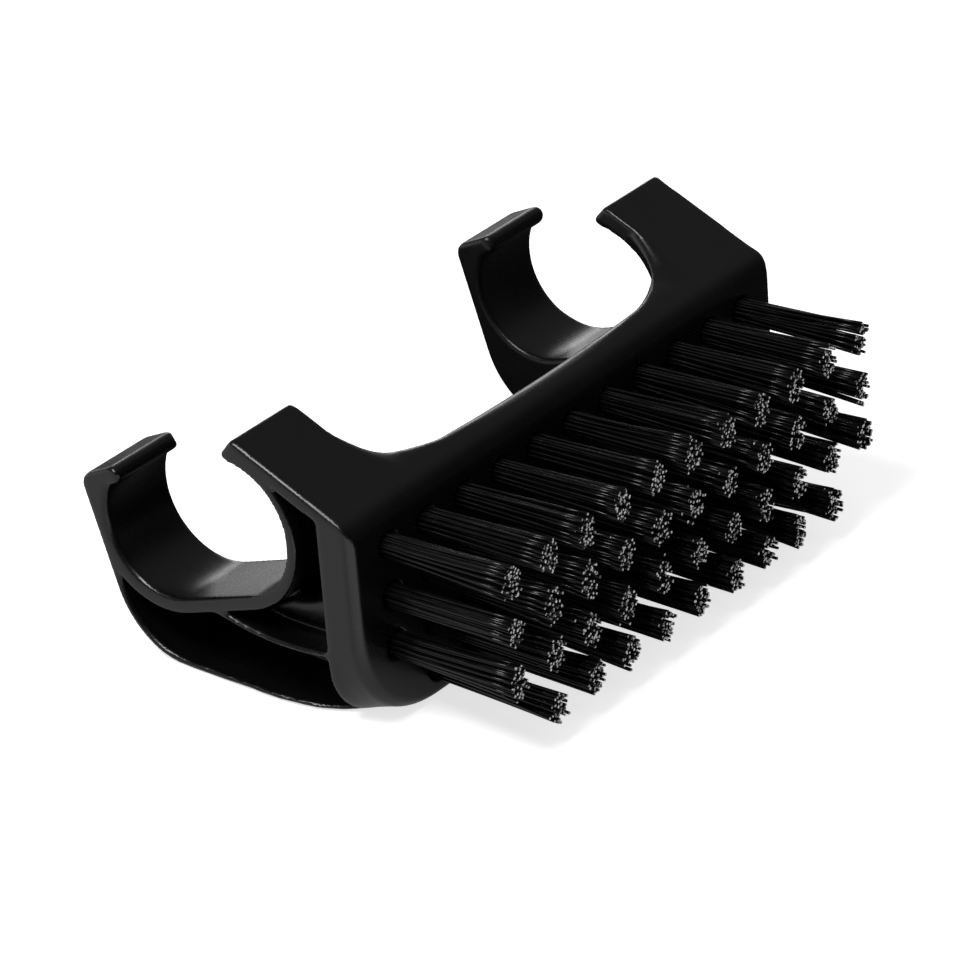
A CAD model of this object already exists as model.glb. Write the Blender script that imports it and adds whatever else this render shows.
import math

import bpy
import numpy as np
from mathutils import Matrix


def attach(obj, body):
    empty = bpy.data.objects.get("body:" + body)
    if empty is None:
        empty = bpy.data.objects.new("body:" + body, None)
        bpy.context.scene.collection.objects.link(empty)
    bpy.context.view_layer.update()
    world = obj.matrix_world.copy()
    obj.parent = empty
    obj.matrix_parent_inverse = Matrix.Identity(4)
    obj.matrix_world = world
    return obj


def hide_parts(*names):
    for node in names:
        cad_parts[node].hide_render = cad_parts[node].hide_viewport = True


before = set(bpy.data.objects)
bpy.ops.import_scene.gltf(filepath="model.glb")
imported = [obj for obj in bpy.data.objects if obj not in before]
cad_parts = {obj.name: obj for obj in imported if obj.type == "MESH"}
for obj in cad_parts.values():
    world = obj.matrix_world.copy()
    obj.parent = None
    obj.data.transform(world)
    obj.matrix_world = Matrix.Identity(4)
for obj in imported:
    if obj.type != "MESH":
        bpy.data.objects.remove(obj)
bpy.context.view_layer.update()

# Looks of the clip-on shoe brush. The moulded body is a distance field, turned into a mesh with
# its real fillets; the tufts are drawn filament by filament.
# Shapes are worked out in the plate's own frame, in millimetres: X along the brush, Y back from
# the plate's front face, Z up the plate. to_row() leans them back into the frame of the CAD.

# Sizes in millimetres: the CAD's, with finer lips, a rounder brow and a rounded crest
BRUSH_LENGTH = 107.0
PLATE_THICKNESS = 6.7
PLATE_HEIGHT = 35.4
PLATE_LEAN = math.radians(4.6)
CORNER_RADIUS = 17.5
BROW_RADIUS = 4.6
FRONT_BEVEL = 1.2
SLOPE = math.radians(24.7)
SHELF_THICKNESS = 2.5
SADDLE_HEIGHT = 36.8
SADDLE_CLIMB = 1.2
SADDLE_RADIUS = 6.5
SHELF_CORNER = 14.0
CLIP_WIDTH = 14.5
SEAT_RADIUS = 11.3
SEAT_FLAT = 14.0
SEAT_TILT = math.radians(18)
SEAT_SETBACK = 5.8
FRONT_ARM = 3.2
BACK_ARM = 2.6
WALL_LEAN = math.radians(16.5)
BELLY_RADIUS = 14.8
SKIN = 1.2
SEAT_WALL = 3.0
SEAT_WALL_FRONT = 1.4
WEB = 1.5
RIB = 1.0
GUSSET_DEPTH = 5.5
BACK_LIP_RISE = 4.1
BACK_LIP_CORNER = 2.2
BACK_BEAD = 1.4
BACK_BEAD_ANGLE = math.radians(36)
BACK_CATCH = 1.1
FRONT_BEAD = 0.85
FRONT_LIP_BEVEL = 1.7
FRONT_LIP_BACK = 0.1
FRONT_LIP_UP = 0.35
CREST_RADIUS = 0.5
COLUMNS = 11
ROWS = 4
COLUMN_PITCH = 9.0
ROW_PITCH = 8.3
BOTTOM_MARGIN = 5.1
HOLE_RADIUS = 2.2
HOLE_DEPTH = 5.3
TUFT_LENGTH = 23.15
MIDDLE_Y = 16.0218

HALF = BRUSH_LENGTH / 2
INNER = HALF - CLIP_WIDTH
FAR = 200.0
OUTER_COLUMN = COLUMNS // 2

# The distance field: its size, its margin, and its step
FIELD_MARGIN = 1.2
FIELD_DEPTH = 57.0
FIELD_HEIGHT = 49.5
STEP = 0.38
BODY_FACES = 170000

# Edge radii of the moulding, and where they grow from one value to another
CRISP_EDGE = 0.15
RIM_EDGE = 0.1
INNER_EDGE = 0.4
POCKET_CORNER = 0.5
POCKET_EDGE = 0.45
GUSSET_EDGE = 2.2
GUSSET_CORNER = 0.6
BEAD_FOOT = 1.4
SADDLE_BACK_EDGE = 2.6
BEHIND_FACE_Y = (1.5, 4)
OVER_SLOPE_Z = (33, 38)
OVER_SLOPE_Y = (19, 22.5)
SEAT_REAR_Y = (20, 30)
BEAD_Y = (40, 44)
SADDLE_END_X = (24, 30)
SHELF_END_X = (31, 35)


def to_row(points):
    y, z = points[:, 1], points[:, 2]
    c, s = math.cos(PLATE_LEAN), math.sin(PLATE_LEAN)
    return np.column_stack([points[:, 0], y * c + z * s - MIDDLE_Y, z * c - y * s]) / 1000


def slope_z(y):
    return PLATE_HEIGHT + y * math.tan(SLOPE)


def shelf_under_z(y):
    return slope_z(y) - SHELF_THICKNESS / math.cos(SLOPE)


def base_z(y):
    return y * math.tan(PLATE_LEAN)


def arc(centre, radius, start, end, step=math.radians(3)):
    n = max(1, math.ceil(abs(end - start) / step))
    a = np.linspace(start, end, n + 1)
    return np.column_stack([centre[0] + radius * np.cos(a), centre[1] + radius * np.sin(a)])


# Derived places in the side view, as in the CAD
seat_front_y = PLATE_THICKNESS + SEAT_SETBACK + SEAT_RADIUS
seat_front = np.array([seat_front_y, slope_z(seat_front_y) - (SEAT_RADIUS + FRONT_ARM) / math.cos(SLOPE)])
seat_rear = seat_front + SEAT_FLAT * np.array([math.cos(SEAT_TILT), -math.sin(SEAT_TILT)])
shift_angle = math.radians(-35)
wall_shift = (SEAT_WALL - SEAT_WALL_FRONT) / 2 * np.array([math.cos(shift_angle), math.sin(shift_angle)])
wall_radius = SEAT_RADIUS + (SEAT_WALL + SEAT_WALL_FRONT) / 2
wall_normal = np.array([math.cos(WALL_LEAN), -math.sin(WALL_LEAN)])
base_normal = np.array([-math.sin(PLATE_LEAN), math.cos(PLATE_LEAN)])
wall_reach = float(seat_rear @ wall_normal) + SEAT_RADIUS + BACK_ARM
belly_centre = np.linalg.solve(np.array([wall_normal, base_normal]),
                               np.array([wall_reach - BELLY_RADIUS, BELLY_RADIUS]))


def wall_y(z, inset=0.0):
    return (wall_reach - inset - wall_normal[1] * z) / wall_normal[0]


lip_corner_z = seat_rear[1] + BACK_LIP_RISE
lip_corner = np.array([wall_y(lip_corner_z, BACK_LIP_CORNER), lip_corner_z])
bead = seat_rear + (SEAT_RADIUS - BACK_CATCH + BACK_BEAD) * np.array(
    [math.cos(BACK_BEAD_ANGLE), math.sin(BACK_BEAD_ANGLE)])
lip_run = bead - lip_corner
lip_normal_angle = (math.atan2(lip_run[1], lip_run[0]) - math.pi / 2
                    + math.asin((BACK_LIP_CORNER - BACK_BEAD) / np.linalg.norm(lip_run)))
lip_edge = seat_front + np.array([FRONT_LIP_BACK - FRONT_BEAD,
                                  SEAT_RADIUS + FRONT_BEAD * 0.6 + FRONT_LIP_UP])
crest_y = lip_edge[0] - FRONT_LIP_BEVEL
crest = np.array([crest_y, slope_z(crest_y)])
rib_radius = 45.0
rib_centre = np.array([PLATE_THICKNESS + 7.5, base_z(PLATE_THICKNESS) + 12.2 + rib_radius])
gusset_radius = 15.0
gusset_top = np.array([PLATE_THICKNESS, base_z(PLATE_THICKNESS) + 23.5])
gusset_foot = np.array([PLATE_THICKNESS + 11, base_z(PLATE_THICKNESS) + 17.6])


# Distance functions: negative inside a shape, positive outside it
def polygon_distance(points, u, v):
    """Signed distance to a closed polygon, at every pair of the coordinates u and v."""
    u, v = np.broadcast_arrays(u, v)
    nearest = np.full(u.shape, 1e9)
    inside = np.zeros(u.shape, bool)
    ends = np.roll(points, -1, axis=0)
    for (au, av), (bu, bv) in zip(points, ends):
        du, dv = bu - au, bv - av
        squared = du * du + dv * dv
        if squared < 1e-12:
            continue
        t = np.clip(((u - au) * du + (v - av) * dv) / squared, 0, 1)
        nearest = np.minimum(nearest, (u - au - t * du) ** 2 + (v - av - t * dv) ** 2)
        if dv != 0:
            crosses = (av > v) != (bv > v)
            inside ^= crosses & (u < au + (v - av) * du / dv)
    return np.where(inside, -1, 1) * np.sqrt(nearest)


def segment_distance(a, b, radius, u, v):
    """Distance to a round-ended band between two points."""
    d = b - a
    t = np.clip(((u - a[0]) * d[0] + (v - a[1]) * d[1]) / float(d @ d), 0, 1)
    return np.hypot(u - a[0] - t * d[0], v - a[1] - t * d[1]) - radius


def round_and(a, b, radius):
    """Where both shapes are, with a round edge."""
    return np.minimum(-radius, np.maximum(a, b)) + np.hypot(
        np.maximum(a + radius, 0), np.maximum(b + radius, 0))


def round_or(a, b, radius):
    """Where either shape is, with a round inner corner."""
    return np.maximum(radius, np.minimum(a, b)) - np.hypot(
        np.maximum(radius - a, 0), np.maximum(radius - b, 0))


def corner_distance(u, v, radius):
    """Distance to a quarter plane with a round corner, from the corner's centre."""
    return (np.minimum(np.maximum(u, v), 0)
            + np.hypot(np.maximum(u, 0), np.maximum(v, 0)) - radius)


def smooth_step(value, low, high):
    t = np.clip((value - low) / (high - low), 0, 1)
    return t * t * (3 - 2 * t)


# Side view outlines
def top_line():
    setback = BROW_RADIUS * math.tan((math.pi / 2 - SLOPE) / 2)
    return np.vstack([
        arc(lip_edge, FRONT_BEAD, math.radians(-50), math.radians(25)),
        arc(crest + CREST_RADIUS * np.array([math.sin(SLOPE), -math.cos(SLOPE)]), CREST_RADIUS,
            math.radians(25), math.pi / 2 + SLOPE),
        arc([BROW_RADIUS, PLATE_HEIGHT - setback], BROW_RADIUS, math.pi / 2 + SLOPE, math.pi)])


def clip_outline():
    return np.vstack([
        [[0.0, 0.0]],
        arc(belly_centre, BELLY_RADIUS, PLATE_LEAN - math.pi / 2, -WALL_LEAN),
        arc(lip_corner, BACK_LIP_CORNER, -WALL_LEAN, lip_normal_angle),
        [bead + BACK_BEAD * np.array([math.cos(lip_normal_angle), math.sin(lip_normal_angle)])],
        [bead, seat_rear, seat_front],
        top_line()])


def shelf_outline():
    return np.vstack([
        [[0.0, -3.0], [PLATE_THICKNESS, -3.0], [PLATE_THICKNESS, shelf_under_z(PLATE_THICKNESS)],
         [seat_front_y - 2, shelf_under_z(seat_front_y - 2)]],
        top_line()])


def pocket_outline():
    return np.vstack([
        [[PLATE_THICKNESS, base_z(PLATE_THICKNESS) + SKIN / math.cos(PLATE_LEAN)]],
        arc(belly_centre, BELLY_RADIUS - SKIN, PLATE_LEAN - math.pi / 2, -WALL_LEAN),
        [[wall_y(seat_rear[1], SKIN), seat_rear[1]], seat_rear, seat_front,
         [seat_front_y, shelf_under_z(seat_front_y)],
         [PLATE_THICKNESS, shelf_under_z(PLATE_THICKNESS)]]])


def rib_outline():
    return np.vstack([
        arc(rib_centre, rib_radius + RIB / 2, math.radians(-105), math.radians(-65)),
        arc(rib_centre, rib_radius - RIB / 2, math.radians(-65), math.radians(-105))])


def gusset_outline():
    middle, chord = (gusset_top + gusset_foot) / 2, gusset_foot - gusset_top
    rise = math.sqrt(gusset_radius ** 2 - float(chord @ chord) / 4)
    centre = middle + rise * np.array([-chord[1], chord[0]]) / np.linalg.norm(chord)
    start = math.atan2(*(gusset_top - centre)[::-1])
    end = math.atan2(*(gusset_foot - centre)[::-1])
    low = -math.pi / 2 - math.asin((rib_centre[0] - PLATE_THICKNESS + 1) / rib_radius)
    return np.vstack([
        [[PLATE_THICKNESS - 1, gusset_top[1]]],
        arc(centre, gusset_radius, start, end),
        [gusset_foot + np.array([4.0, -2.0])],
        arc(rib_centre, rib_radius, math.radians(-76), low)])


# Front view outline of what the saddle leaves open between the clips
def saddle_outline():
    span = INNER - SADDLE_RADIUS
    sag_radius = (span * span + SADDLE_CLIMB ** 2) / (2 * SADDLE_CLIMB)
    sag_angle = math.asin(span / sag_radius)
    end_z = SADDLE_HEIGHT + SADDLE_CLIMB + SADDLE_RADIUS
    a = np.linspace(-sag_angle, sag_angle, 61)[1:-1]
    sag = np.column_stack([sag_radius * np.sin(a), SADDLE_HEIGHT + sag_radius * (1 - np.cos(a))])
    return np.vstack([
        [[-INNER, FAR], [-INNER, end_z]],
        arc([-span, end_z], SADDLE_RADIUS, math.pi, 1.5 * math.pi),
        sag,
        arc([span, end_z], SADDLE_RADIUS, 1.5 * math.pi, 2 * math.pi),
        [[INNER, FAR]]])


def pocket_field(ax, y, z):
    """What is cut out of a clip from its end, round the seat's wall, the rib and the gusset."""
    wall = segment_distance(seat_front + wall_shift, seat_rear + wall_shift, wall_radius, y, z)
    pocket = round_and(polygon_distance(pocket_outline(), y, z), -wall, POCKET_CORNER)
    pocket = round_and(pocket, -polygon_distance(rib_outline(), y, z), POCKET_CORNER)
    gusset = polygon_distance(gusset_outline(), y, z)
    gusset = round_and(gusset, ax - (HALF - GUSSET_DEPTH), GUSSET_EDGE)
    return round_and(np.maximum(pocket, INNER + WEB - ax), -gusset, GUSSET_CORNER)


def lip_corners(tip, run, bead_radius, near, ax, y, z, inner_radius, end_radius):
    """Cuts the corners of a lip's tip round, where near is true."""
    run = run / np.linalg.norm(run)
    past = (y - tip[0]) * run[0] + (z - tip[1]) * run[1] - bead_radius
    side = np.maximum(INNER - ax, ax - HALF)
    radius = np.where(ax < HALF - 5, inner_radius, end_radius)
    return np.where(near, round_and(past, side, radius), -10.0)


def clip_field(seat, front_corners, ax, y, z):
    """The clip at x > 0: the outline round its end, the seat and the pockets."""
    bead_side = np.hypot(y - bead[0], z - bead[1]) - BACK_BEAD
    outer_side = np.minimum(polygon_distance(clip_outline(), y, z), bead_side)
    seat_side = round_or(-seat, bead_side, BEAD_FOOT)
    over_slope = smooth_step(z, *OVER_SLOPE_Z) * (1 - smooth_step(y, *OVER_SLOPE_Y))
    behind_face = smooth_step(y, *BEHIND_FACE_Y)
    end_edge = CRISP_EDGE + 0.3 * behind_face + 0.4 * over_slope * behind_face
    rim_edge = RIM_EDGE + 0.3 * smooth_step(y, *SEAT_REAR_Y) + 0.5 * smooth_step(y, *BEAD_Y)
    clip = np.maximum(round_and(outer_side, ax - HALF, end_edge),
                      round_and(seat_side, ax - HALF, rim_edge))
    clip = round_and(clip, INNER - ax, INNER_EDGE - 0.3 * over_slope)
    back_corners = lip_corners(bead, lip_run, BACK_BEAD, y > 38, ax, y, z,
                               inner_radius=1.8, end_radius=0.4)
    clip = np.maximum(np.maximum(clip, back_corners), front_corners)
    return round_and(clip, -pocket_field(ax, y, z), POCKET_EDGE)


def middle_field(seat, front_corners, x, y, z):
    """The plate and the shelf. The saddle's front edge is crisp and its back edge round."""
    ax = np.abs(x)
    shelf_side = polygon_distance(shelf_outline(), y, z)
    saddle = polygon_distance(saddle_outline(), x[:, :, 0], z[0])[:, None, :]
    gap = corner_distance(ax - (INNER - SHELF_CORNER), (PLATE_THICKNESS + SHELF_CORNER) - y, SHELF_CORNER)
    back_edge = SADDLE_BACK_EDGE - 0.8 * smooth_step(ax, *SADDLE_END_X)
    front_edge = CRISP_EDGE + 0.85 * smooth_step(ax, *SHELF_END_X)
    middle = round_and(shelf_side, round_and(-saddle, -gap, back_edge), front_edge)
    middle = np.maximum(middle, -seat)
    middle = np.maximum(middle, np.where(ax > INNER, front_corners, -10.0))
    return np.maximum(middle, ax - INNER - FIELD_MARGIN)


def outline_field(ax, y, z):
    """The front outline: lower corners that get less round towards the back, and the bevel in front."""
    depths = [0, 2.3, 4.5, 6.6, 8.7, 11.9, 15.2, 18.5, 21.7, 24, 60]
    radii = [CORNER_RADIUS, 16.0, 14.1, 11.7, 9.7, 7.7, 5.9, 4.4, 3.5, 3.2, 3.2]
    corner = np.interp(y, depths, radii)
    floor = np.interp(y, [0, 12.2, 23.7, 60], [0, 0, 1.7, 1.7])
    outline = corner_distance(ax - (HALF - corner), floor + corner - z, corner)
    return outline + np.maximum(0, FRONT_BEVEL - y) * 0.75


def hole_field(ax, y, z):
    """The tufts' holes. The lowest row has none at its ends."""
    column = np.clip(np.round(ax / COLUMN_PITCH), 0, OUTER_COLUMN)
    row = np.clip(np.round((z - BOTTOM_MARGIN) / ROW_PITCH), 0, ROWS - 1)
    hole = np.hypot(ax - column * COLUMN_PITCH, z - BOTTOM_MARGIN - row * ROW_PITCH) - HOLE_RADIUS
    hole = np.where((column == OUTER_COLUMN) & (row == 0), 5.0, hole)
    return np.maximum(hole, y - HOLE_DEPTH)


def body_field(step):
    """The body's distance field over its half at x > 0, and the field's first point."""
    x = ((np.arange(math.ceil((HALF + FIELD_MARGIN) / step) + 1) - 0.5) * step)[:, None, None]
    y = (-FIELD_MARGIN + np.arange(math.ceil(FIELD_DEPTH / step)) * step)[None, :, None]
    z = (-FIELD_MARGIN + np.arange(math.ceil(FIELD_HEIGHT / step)) * step)[None, None, :]
    ax = np.abs(x)
    seat = segment_distance(seat_front, seat_rear, SEAT_RADIUS, y, z)
    front_corners = lip_corners(lip_edge, lip_edge - crest, FRONT_BEAD, (z > 38) & (y < 32),
                                ax, y, z, inner_radius=1.0, end_radius=0.3)
    body = np.minimum(middle_field(seat, front_corners, x, y, z),
                      clip_field(seat, front_corners, ax, y, z))
    body = np.maximum(body, outline_field(ax, y, z))
    body = np.maximum(body, y * math.sin(PLATE_LEAN) - z * math.cos(PLATE_LEAN))
    body = np.maximum(body, -hole_field(ax, y, z))
    return body.astype(np.float32), np.array([x.flat[0], y.flat[0], z.flat[0]])


def soften(field, first, step):
    """Rounds every edge of the field a little, except at the windows below."""
    sharp = field.copy()
    for axis in range(3):
        f = np.moveaxis(field, axis, 0)
        f[1:-1] = 0.25 * f[:-2] + 0.5 * f[1:-1] + 0.25 * f[2:]
    # Where the slope meets a clip's inner side, the front of the seat's rim, and the mouths of the holes
    windows = [([INNER - 1.5, 8, 39.3], [INNER + 1.5, 21, 60]),
               ([HALF - 1.5, 9, 20], [HALF + 1.5, 23, 44])]
    for column in range(OUTER_COLUMN + 1):
        for row in range(ROWS):
            x, z = column * COLUMN_PITCH, BOTTOM_MARGIN + row * ROW_PITCH
            if (column, row) != (OUTER_COLUMN, 0):
                windows.append(([x - 2.8, -FIELD_MARGIN, z - 2.8], [x + 2.8, 1.5, z + 2.8]))
    for window in windows:
        i, j, k = (slice(max(0, int((low - start) / step)), int((high - start) / step))
                   for low, high, start in zip(*window, first))
        field[i, j, k] = sharp[i, j, k]
    return field


def sample(field, grid):
    """The field between its points, at grid coordinates."""
    base = np.clip(np.floor(grid).astype(int), 0, np.array(field.shape) - 2)
    f = grid - base
    total = np.zeros(len(grid))
    for corner in np.ndindex(2, 2, 2):
        weight = np.prod([f[:, a] if corner[a] else 1 - f[:, a] for a in range(3)], axis=0)
        i, j, k = (base[:, a] + corner[a] for a in range(3))
        total += weight * field[i, j, k]
    return total


def surface_mesh(field, first, step):
    """A closed quad mesh on the field's zero level, mirrored over x = 0."""
    inside = field < 0
    count = np.zeros(tuple(n - 1 for n in field.shape), np.int8)
    for c in np.ndindex(2, 2, 2):
        count += inside[c[0]:inside.shape[0] - 1 + c[0], c[1]:inside.shape[1] - 1 + c[1],
                        c[2]:inside.shape[2] - 1 + c[2]]
    cells = np.argwhere((count > 0) & (count < 8))
    number = np.full(count.shape, -1, np.int64)
    number[tuple(cells.T)] = np.arange(len(cells))
    total, hits = np.zeros((len(cells), 3)), np.zeros(len(cells))
    for axis in range(3):
        for c in np.ndindex(2, 2):
            start = np.insert(np.array(c), axis, 0)
            end = np.insert(np.array(c), axis, 1)
            a, b = field[tuple((cells + start).T)], field[tuple((cells + end).T)]
            crosses = (a < 0) != (b < 0)
            t = np.where(crosses, a / np.where(crosses, a - b, 1), 0)
            point = start + (end - start) * t[:, None]
            total += point * crosses[:, None]
            hits += crosses
    grid = cells + total / hits[:, None]
    slopes = np.gradient(field)
    for _ in range(3):
        value = sample(field, grid)
        slope = np.column_stack([sample(s, grid) for s in slopes])
        move = -value[:, None] * slope / np.maximum((slope ** 2).sum(1), 1e-9)[:, None]
        length = np.linalg.norm(move, axis=1)[:, None]
        grid += move * np.minimum(1, 0.4 / np.maximum(length, 1e-9))
    grid[cells[:, 0] == 0, 0] = 0.5
    points = first + grid * step
    quads = []
    for axis in range(3):
        a, b = np.moveaxis(inside, axis, 0)[:-1], np.moveaxis(inside, axis, 0)[1:]
        edges = np.argwhere(a != b)
        falls = a[tuple(edges.T)]
        edges = np.insert(edges[:, 1:], axis, edges[:, 0], axis=1)
        others = [o for o in range(3) if o != axis]
        keep = (edges[:, others] > 0).all(1)
        keep &= (edges[:, 0] > 0)
        for o in others:
            keep &= edges[:, o] < count.shape[o]
        edges, falls = edges[keep], falls[keep]
        ring = []
        for du, dv in ((1, 1), (0, 1), (0, 0), (1, 0)):
            cell = edges.copy()
            cell[:, others[0]] -= du
            cell[:, others[1]] -= dv
            ring.append(number[tuple(cell.T)])
        ring = np.column_stack(ring)
        flip = falls if axis != 1 else ~falls
        ring[~flip] = ring[~flip][:, ::-1]
        quads.append(ring)
    quads = np.vstack(quads)
    twin = np.arange(len(points))
    away = cells[:, 0] > 0
    twin[away] = len(points) + np.arange(away.sum())
    mirrored = points[away] * np.array([-1, 1, 1])
    return np.vstack([points, mirrored]), np.vstack([quads, twin[quads][:, ::-1]])


def new_mesh(name, points, *face_sets):
    """A mesh object from arrays: points, and sets of faces with as many corners as columns."""
    mesh = bpy.data.meshes.new(name)
    mesh.vertices.add(len(points))
    mesh.vertices.foreach_set("co", np.ascontiguousarray(points, np.float32).ravel())
    corners = np.concatenate([faces.ravel() for faces in face_sets]).astype(np.int32)
    sizes = np.concatenate([np.full(len(faces), faces.shape[1]) for faces in face_sets])
    mesh.loops.add(len(corners))
    mesh.loops.foreach_set("vertex_index", corners)
    mesh.polygons.add(len(sizes))
    mesh.polygons.foreach_set("loop_start", (np.cumsum(sizes) - sizes).astype(np.int32))
    mesh.update(calc_edges=True)
    mesh.validate()
    thing = bpy.data.objects.new(name, mesh)
    bpy.context.scene.collection.objects.link(thing)
    return thing


def shade_by_area(mesh):
    """Smooth shading that keeps the flat faces flat, because large faces weigh more."""
    mesh.polygons.foreach_set("use_smooth", np.ones(len(mesh.polygons), bool))
    n = len(mesh.vertices)
    points = np.zeros(n * 3, np.float32)
    mesh.vertices.foreach_get("co", points)
    points = points.reshape(-1, 3).astype(float)
    mesh.calc_loop_triangles()
    tris = np.zeros(len(mesh.loop_triangles) * 3, np.int32)
    mesh.loop_triangles.foreach_get("vertices", tris)
    tris = tris.reshape(-1, 3)
    cross = np.cross(points[tris[:, 1]] - points[tris[:, 0]], points[tris[:, 2]] - points[tris[:, 0]])
    normals = np.zeros((n, 3))
    for k in range(3):
        for a in range(3):
            normals[:, a] += np.bincount(tris[:, k], cross[:, a], n)
    normals /= np.maximum(np.linalg.norm(normals, axis=1), 1e-20)[:, None]
    mesh.normals_split_custom_set_from_vertices(normals.tolist())


def decimated(thing, faces):
    """The object with at most so many triangles."""
    mod = thing.modifiers.new("fewer", "DECIMATE")
    mod.ratio = min(1.0, faces / (2 * len(thing.data.polygons)))
    graph = bpy.context.evaluated_depsgraph_get()
    mesh = bpy.data.meshes.new_from_object(thing.evaluated_get(graph))
    old = thing.data
    thing.modifiers.clear()
    thing.data = mesh
    bpy.data.meshes.remove(old)
    return thing


field, first = body_field(STEP)
field = soften(field, first, STEP)
points, quads = surface_mesh(field, first, STEP)
body = decimated(new_mesh("moulded_body", to_row(points), quads), BODY_FACES)
shade_by_area(body.data)
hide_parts("body")
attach(body, "root")


# Tufts: filaments that leave the hole together and spread towards their cut ends
rng = np.random.default_rng(20240611)
SIDES = 6
RINGS = 7
FILAMENT_RADIUS = 0.235
CLUMPS = 9
GOLDEN_ANGLE = 2.399963


def filament_paths(centre_x, centre_z):
    """The middle lines and radii of one tuft's filaments, in the plate's frame."""
    count = int(rng.integers(42, 49))
    k = np.arange(count)
    r = np.sqrt((k + 0.5) / count) * (HOLE_RADIUS - 0.12 - FILAMENT_RADIUS)
    a = k * GOLDEN_ANGLE + rng.uniform(0, 6.28)
    root = np.column_stack([r * np.cos(a), r * np.sin(a)]) + rng.normal(0, 0.05, (count, 2))
    # The wire anchor lies along X, so the halves above and below it part and lean on their own
    spread = np.array([1.05, 1.32]) + rng.normal(0, 0.06, 2)
    half = (root[:, 1] > 0).astype(int)
    lean = rng.normal(0, 0.16, 2) + np.array([[0, -0.18], [0, 0.18]]) + rng.normal(0, 0.14, (2, 2))
    clump = rng.integers(0, CLUMPS, count)
    tip = root * spread + lean[half] + rng.normal(0, 0.13, (CLUMPS, 2))[clump]
    tip = tip + rng.normal(0, 0.2, (count, 2))
    stray = rng.random(count) < 0.03
    tip[stray] *= 1.4
    length = TUFT_LENGTH - 0.1 - np.abs(rng.normal(0, 0.32, count))
    length[stray] -= rng.uniform(0, 1.5, stray.sum())
    t = np.linspace(0, 1, RINGS)
    start_y = HOLE_DEPTH - 2.2
    y = start_y + (-length[:, None] - start_y) * t
    bend = (0.35 * t + 0.65 * t ** 1.8)[None, :, None]
    phase = rng.uniform(0, 6.28, (count, 1, 2))
    wave = rng.normal(0, 0.05, (count, 1, 2)) * np.sin(t[None, :, None] * 5 + phase) * t[None, :, None]
    side = root[:, None] + (tip - root)[:, None] * bend + wave
    paths = np.dstack([centre_x + side[:, :, 0], y, centre_z + side[:, :, 1]])
    return paths, FILAMENT_RADIUS * rng.uniform(0.9, 1.1, count)


def tubes(paths, radii):
    """Points, quads and end faces of six-sided tubes along the paths."""
    count, rings = paths.shape[:2]
    a = np.arange(SIDES) * 2 * math.pi / SIDES
    ring = np.column_stack([np.cos(a), np.zeros(SIDES), np.sin(a)])
    verts = paths[:, :, None, :] + ring[None, None] * radii[:, None, None, None]
    base = (np.arange(count) * rings * SIDES)[:, None, None]
    i = np.arange(rings - 1)[None, :, None] * SIDES
    j = np.arange(SIDES)[None, None, :]
    n = (j + 1) % SIDES
    quads = np.stack([base + i + j, base + i + n, base + i + SIDES + n, base + i + SIDES + j], -1)
    cap = (np.arange(count) * rings * SIDES + (rings - 1) * SIDES)[:, None] + np.arange(SIDES)[None]
    return verts.reshape(-1, 3), quads.reshape(-1, 4), cap


def tuft_row(row):
    """One piece for a row of tufts, counted from the top. The lowest has none at its ends."""
    z = BOTTOM_MARGIN + (ROWS - 1 - row) * ROW_PITCH
    verts, quads, caps, names, count = [], [], [], [], 0
    for column in range(COLUMNS):
        if row == ROWS - 1 and column in (0, COLUMNS - 1):
            continue
        v, q, c = tubes(*filament_paths((column - OUTER_COLUMN) * COLUMN_PITCH, z))
        verts.append(v)
        quads.append(q + count)
        caps.append(c + count)
        count += len(v)
        names.append("tuft_row%d_%02d" % (row + 1, column + 1))
    quads, caps = np.vstack(quads), np.vstack(caps)
    thing = new_mesh("bristles_row%d" % (row + 1), to_row(np.vstack(verts)), quads, caps)
    is_end = np.arange(len(quads) + len(caps)) >= len(quads)
    thing.data.polygons.foreach_set("use_smooth", ~is_end)
    thing.data.polygons.foreach_set("material_index", is_end.astype(np.int32))
    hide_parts(*names)
    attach(thing, "root")
    return thing


rows = [tuft_row(r) for r in range(ROWS)]


# Node helpers, for the materials, the floor and the world
def maths(tree, operation, *values):
    node = tree.nodes.new("ShaderNodeMath")
    node.operation = operation
    for socket, value in zip(node.inputs, values):
        if isinstance(value, bpy.types.NodeSocket):
            tree.links.new(value, socket)
        else:
            socket.default_value = value
    return node.outputs[0]


def fade(tree, value, start, end):
    """0 at start and 1 at end, with a smooth change between them."""
    node = tree.nodes.new("ShaderNodeMapRange")
    node.interpolation_type = "SMOOTHSTEP"
    tree.links.new(value, node.inputs["Value"])
    node.inputs["From Min"].default_value = start
    node.inputs["From Max"].default_value = end
    return node.outputs["Result"]


def coordinates(tree, kind):
    """The outputs X, Y and Z of a texture coordinate."""
    split = tree.nodes.new("ShaderNodeSeparateXYZ")
    tree.links.new(tree.nodes.new("ShaderNodeTexCoord").outputs[kind], split.inputs[0])
    return split.outputs


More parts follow.
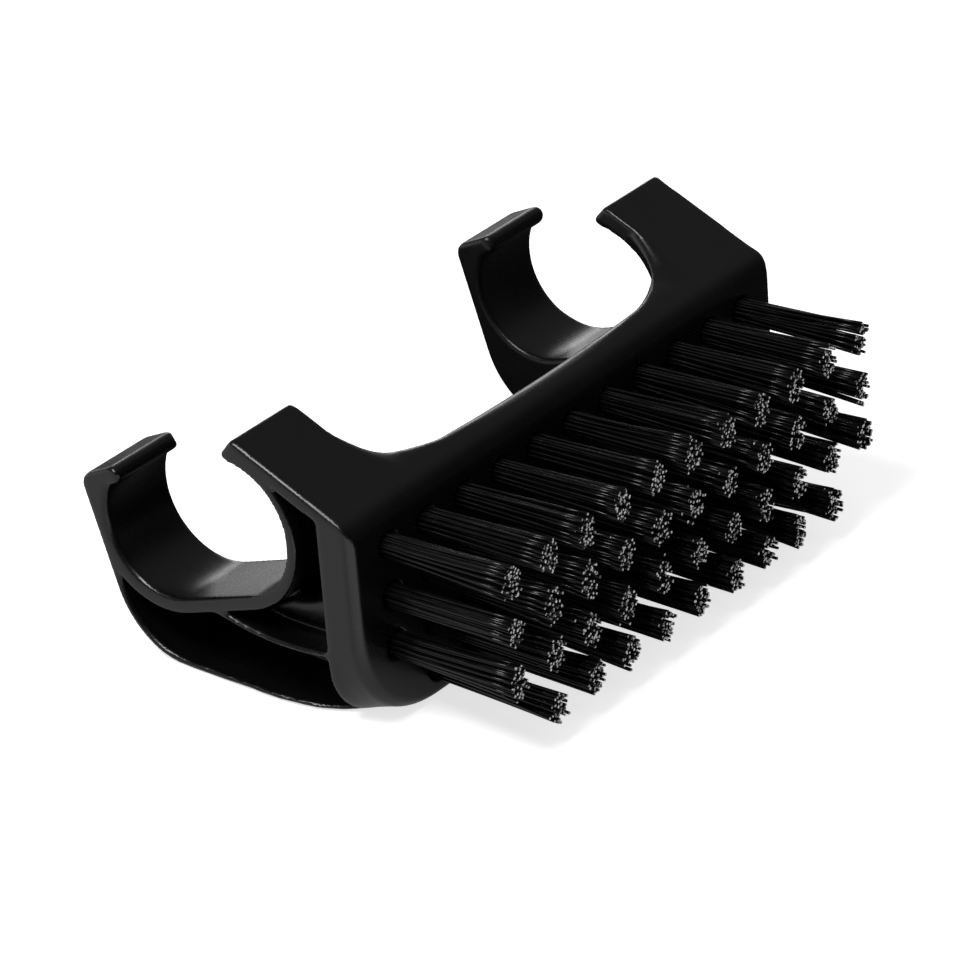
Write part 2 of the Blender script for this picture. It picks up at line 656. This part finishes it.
# Materials
class Nodes:
    """A short way to write a node material."""

    def __init__(self, name):
        self.material = bpy.data.materials.new(name)
        self.material.use_nodes = True
        self.tree = self.material.node_tree
        self.shader = self.tree.nodes["Principled BSDF"]
        self.place = self.add("ShaderNodeTexCoord").outputs["Object"]

    def add(self, kind, **inputs):
        node = self.tree.nodes.new(kind)
        for key, value in inputs.items():
            self.set(node, key, value)
        return node

    def set(self, node, key, value):
        socket = node.inputs[key]
        if isinstance(value, bpy.types.NodeSocket):
            self.tree.links.new(value, socket)
        else:
            socket.default_value = value

    def noise(self, scale, detail=2.0, rough=0.5, vector=None):
        node = self.add("ShaderNodeTexNoise", Scale=scale, Detail=detail, Roughness=rough,
                        Vector=vector or self.place)
        return node.outputs["Fac"]

    def scaled(self, x, y, z, turn=(0, 0, 0)):
        node = self.add("ShaderNodeMapping", Vector=self.place, Scale=(x, y, z), Rotation=turn)
        return node.outputs["Vector"]

    def remap(self, value, low, high, to_low, to_high):
        node = self.tree.nodes.new("ShaderNodeMapRange")
        self.set(node, "Value", value)
        for key, number in zip(("From Min", "From Max", "To Min", "To Max"), (low, high, to_low, to_high)):
            node.inputs[key].default_value = number
        return node.outputs["Result"]

    def maths(self, operation, a, b):
        return maths(self.tree, operation, a, b)

    def colours(self, factor, *stops):
        node = self.tree.nodes.new("ShaderNodeValToRGB")
        self.set(node, "Fac", factor)
        ramp = node.color_ramp
        while len(ramp.elements) < len(stops):
            ramp.elements.new(0.5)
        for element, (at, grey) in zip(ramp.elements, stops):
            element.position = at
            element.color = (*grey, 1) if isinstance(grey, tuple) else (grey, grey, grey, 1)
        return node.outputs["Color"]

    def bump(self, height, strength, distance, normal=None):
        node = self.tree.nodes.new("ShaderNodeBump")
        self.set(node, "Height", height)
        node.inputs["Strength"].default_value = strength
        node.inputs["Distance"].default_value = distance
        if normal:
            self.set(node, "Normal", normal)
        return node.outputs["Normal"]


def moulded_plastic():
    m = Nodes("moulded_black_plastic")
    broad = m.noise(90, 3)
    fine = m.noise(1400, 4, 0.6)
    grain = m.noise(6500, 2, 0.6)
    scratch_a = m.noise(1.0, 1, 0.5, m.scaled(300, 9000, 9000, (0.3, 0.2, 0.5)))
    scratch_b = m.noise(1.0, 1, 0.5, m.scaled(7000, 240, 7000, (0.1, 0.6, -0.3)))
    lines = m.maths("MAXIMUM", m.remap(scratch_a, 0.70, 0.78, 0, 1), m.remap(scratch_b, 0.71, 0.79, 0, 1))
    mottle = m.maths("ADD", m.maths("MULTIPLY", broad, 0.7), m.maths("MULTIPLY", fine, 0.3))
    black, worn = (0.0016, 0.0016, 0.0017), (0.0028, 0.0028, 0.003)
    m.set(m.shader, "Base Color", m.colours(mottle, (0.3, black), (0.7, worn)))
    rough = m.remap(broad, 0.3, 0.7, 0.24, 0.34)
    rough = m.maths("ADD", rough, m.remap(fine, 0.3, 0.7, -0.03, 0.04))
    rough = m.maths("ADD", rough, m.maths("MULTIPLY", lines, 0.12))
    m.set(m.shader, "Roughness", rough)
    m.shader.inputs["Specular IOR Level"].default_value = 0.5
    normal = m.bump(grain, 0.05, 0.00002)
    normal = m.bump(lines, 0.08, 0.00001, normal)
    m.set(m.shader, "Normal", normal)
    return m.material


def bristle_side():
    m = Nodes("black_nylon")
    along = m.noise(1.0, 2, 0.5, m.scaled(2600, 160, 2600))
    m.set(m.shader, "Base Color", m.colours(along, (0.35, 0.0015), (0.65, 0.0035)))
    m.set(m.shader, "Roughness", m.remap(along, 0.3, 0.7, 0.18, 0.34))
    m.shader.inputs["Specular IOR Level"].default_value = 0.35
    m.set(m.shader, "Normal", m.bump(m.noise(5000, 2), 0.08, 0.00002))
    return m.material


def bristle_end():
    m = Nodes("cut_nylon_ends")
    spots = m.noise(2300, 1)
    m.set(m.shader, "Base Color", m.colours(spots, (0.36, 0.015), (0.46, 0.25), (0.56, 0.9)))
    m.set(m.shader, "Roughness", m.remap(spots, 0.3, 0.7, 0.45, 0.7))
    m.set(m.shader, "Normal", m.bump(m.noise(9000, 2), 0.3, 0.00004))
    return m.material


def wire():
    m = Nodes("anchor_wire")
    drawn = m.noise(1.0, 2, 0.5, m.scaled(400, 9000, 9000))
    m.set(m.shader, "Base Color", m.colours(drawn, (0.3, 0.35), (0.7, 0.6)))
    m.shader.inputs["Metallic"].default_value = 1.0
    m.set(m.shader, "Roughness", m.remap(drawn, 0.3, 0.7, 0.25, 0.45))
    m.set(m.shader, "Normal", m.bump(drawn, 0.1, 0.00002))
    return m.material


body.data.materials.clear()
body.data.materials.append(moulded_plastic())
side_material, end_material = bristle_side(), bristle_end()
for thing in rows:
    thing.data.materials.append(side_material)
    thing.data.materials.append(end_material)
wire_material = wire()
for name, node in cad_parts.items():
    if name.startswith("anchors"):
        node.data.materials.clear()
        node.data.materials.append(wire_material)


# Floor and world: white for the camera, dim and uneven in reflections, plain light for the rest
FLOOR_HALF = 3.0
FLOOR_COLOUR = (0.8, 0.8, 0.8)
FLOOR_GLOW = 0.7
WORLD_LIGHT = 0.32
DARK = 0.03


def by_ray(tree, direct, glossy, rest):
    """One value for camera and transmission rays, one for glossy rays and one for all others."""
    path = tree.nodes.new("ShaderNodeLightPath")
    seen = maths(tree, "MAXIMUM", path.outputs["Is Camera Ray"], path.outputs["Is Transmission Ray"])
    value = rest
    for chosen, wanted in ((path.outputs["Is Glossy Ray"], glossy), (seen, direct)):
        step = maths(tree, "MULTIPLY", chosen, wanted)
        other = maths(tree, "MULTIPLY", maths(tree, "SUBTRACT", 1.0, chosen), value)
        value = maths(tree, "ADD", step, other)
    return value


def weighted(tree, base, *terms):
    """A base level, and values times their weights, added up."""
    level = base
    for value, weight in terms:
        level = maths(tree, "ADD", level, maths(tree, "MULTIPLY", weight, value))
    return level


def emission(tree, strength):
    node = tree.nodes.new("ShaderNodeEmission")
    tree.links.new(strength, node.inputs["Strength"])
    return node.outputs[0]


def make_floor():
    s = FLOOR_HALF
    corners = np.array([(-s, -s, 0), (s, -s, 0), (s, s, 0), (-s, s, 0)])
    floor = new_mesh("floor", corners, np.array([[0, 1, 2, 3]]))
    material = bpy.data.materials.new("pale_floor")
    material.use_nodes = True
    tree = material.node_tree
    tree.nodes.clear()
    paint = tree.nodes.new("ShaderNodeBsdfDiffuse")
    paint.inputs["Color"].default_value = (*FLOOR_COLOUR, 1)
    add = tree.nodes.new("ShaderNodeAddShader")
    tree.links.new(paint.outputs[0], add.inputs[0])
    tree.links.new(emission(tree, by_ray(tree, FLOOR_GLOW, 0.0, 0.0)), add.inputs[1])

    # In reflections the floor is light on the left and far behind the brush, and dark under it
    place = coordinates(tree, "Object")
    left = fade(tree, place["X"], -0.015, -0.07)
    near = maths(tree, "MULTIPLY", left, fade(tree, place["Y"], -0.01, -0.05))
    behind = fade(tree, place["Y"], 0.2, 0.45)
    mirrored = weighted(tree, DARK, (left, 0.6), (near, 0.5), (behind, 0.9))
    choose = tree.nodes.new("ShaderNodeMixShader")
    tree.links.new(tree.nodes.new("ShaderNodeLightPath").outputs["Is Glossy Ray"], choose.inputs[0])
    tree.links.new(add.outputs[0], choose.inputs[1])
    tree.links.new(emission(tree, mirrored), choose.inputs[2])
    out = tree.nodes.new("ShaderNodeOutputMaterial")
    tree.links.new(choose.outputs[0], out.inputs["Surface"])
    floor.data.materials.append(material)


def make_world():
    world = bpy.data.worlds.new("studio")
    bpy.context.scene.world = world
    world.use_nodes = True
    tree = world.node_tree
    back = tree.nodes["Background"]

    # In reflections there is a pale backdrop low behind the object, and a room that is dark in front
    way = coordinates(tree, "Generated")
    backdrop = maths(tree, "MULTIPLY", fade(tree, way["Y"], 0.3, 0.65), fade(tree, way["Z"], 0.25, 0.0))
    room = fade(tree, way["Y"], -0.6, -0.1)
    mirrored = weighted(tree, DARK, (backdrop, 0.9), (room, 0.12))
    tree.links.new(by_ray(tree, 1.0, mirrored, WORLD_LIGHT), back.inputs["Strength"])
    back.inputs["Color"].default_value = (1, 1, 1, 1)


def place_object(name, data, axes, place):
    """A lamp or camera with its X, Y and Z axes and its place given."""
    thing = bpy.data.objects.new(name, data)
    bpy.context.scene.collection.objects.link(thing)
    matrix = Matrix.Identity(4)
    for i in range(3):
        matrix[i] = (*(axis[i] for axis in axes), place[i])
    thing.matrix_world = matrix
    return thing


def area_light(name, place, target, size, power):
    data = bpy.data.lights.new(name, "AREA")
    data.shape = "RECTANGLE"
    data.size, data.size_y = size
    data.energy = power
    offset = np.array(place) - np.array(target)
    z_axis = offset / np.linalg.norm(offset)
    x_axis = np.cross([0, 0, 1], z_axis)
    x_axis = x_axis / np.linalg.norm(x_axis)
    place_object(name, data, (x_axis, np.cross(z_axis, x_axis), z_axis), place)


make_floor()
make_world()
BRUSH_MIDDLE = (0, 0, 0.02)
area_light("softbox_top", (-0.5, 0.1, 0.88), BRUSH_MIDDLE, (0.4, 0.3), 6.5)
area_light("softbox_back", (0.66, 0.66, 0.16), BRUSH_MIDDLE, (0.3, 0.24), 0.55)


# Camera, fitted to the photograph's grid of tufts
FOCAL_PIXELS = 5165.9
FRAME_PIXELS = 960
SENSOR = 36


def make_camera():
    forward = np.array([0.68171, 0.52804, -0.50640])
    right = np.array([0.60892, -0.79320, -0.00738])
    down = np.array([-0.40558, -0.30332, -0.86226])
    data = bpy.data.cameras.new("camera")
    data.sensor_width = SENSOR
    data.lens = FOCAL_PIXELS / FRAME_PIXELS * SENSOR
    data.clip_start, data.clip_end = 0.01, 20
    bpy.context.scene.camera = place_object(
        "camera", data, (right, -down, -forward), (-0.54889, -0.42097, 0.42120))


make_camera()
bpy.context.scene.view_settings.view_transform = "Standard"
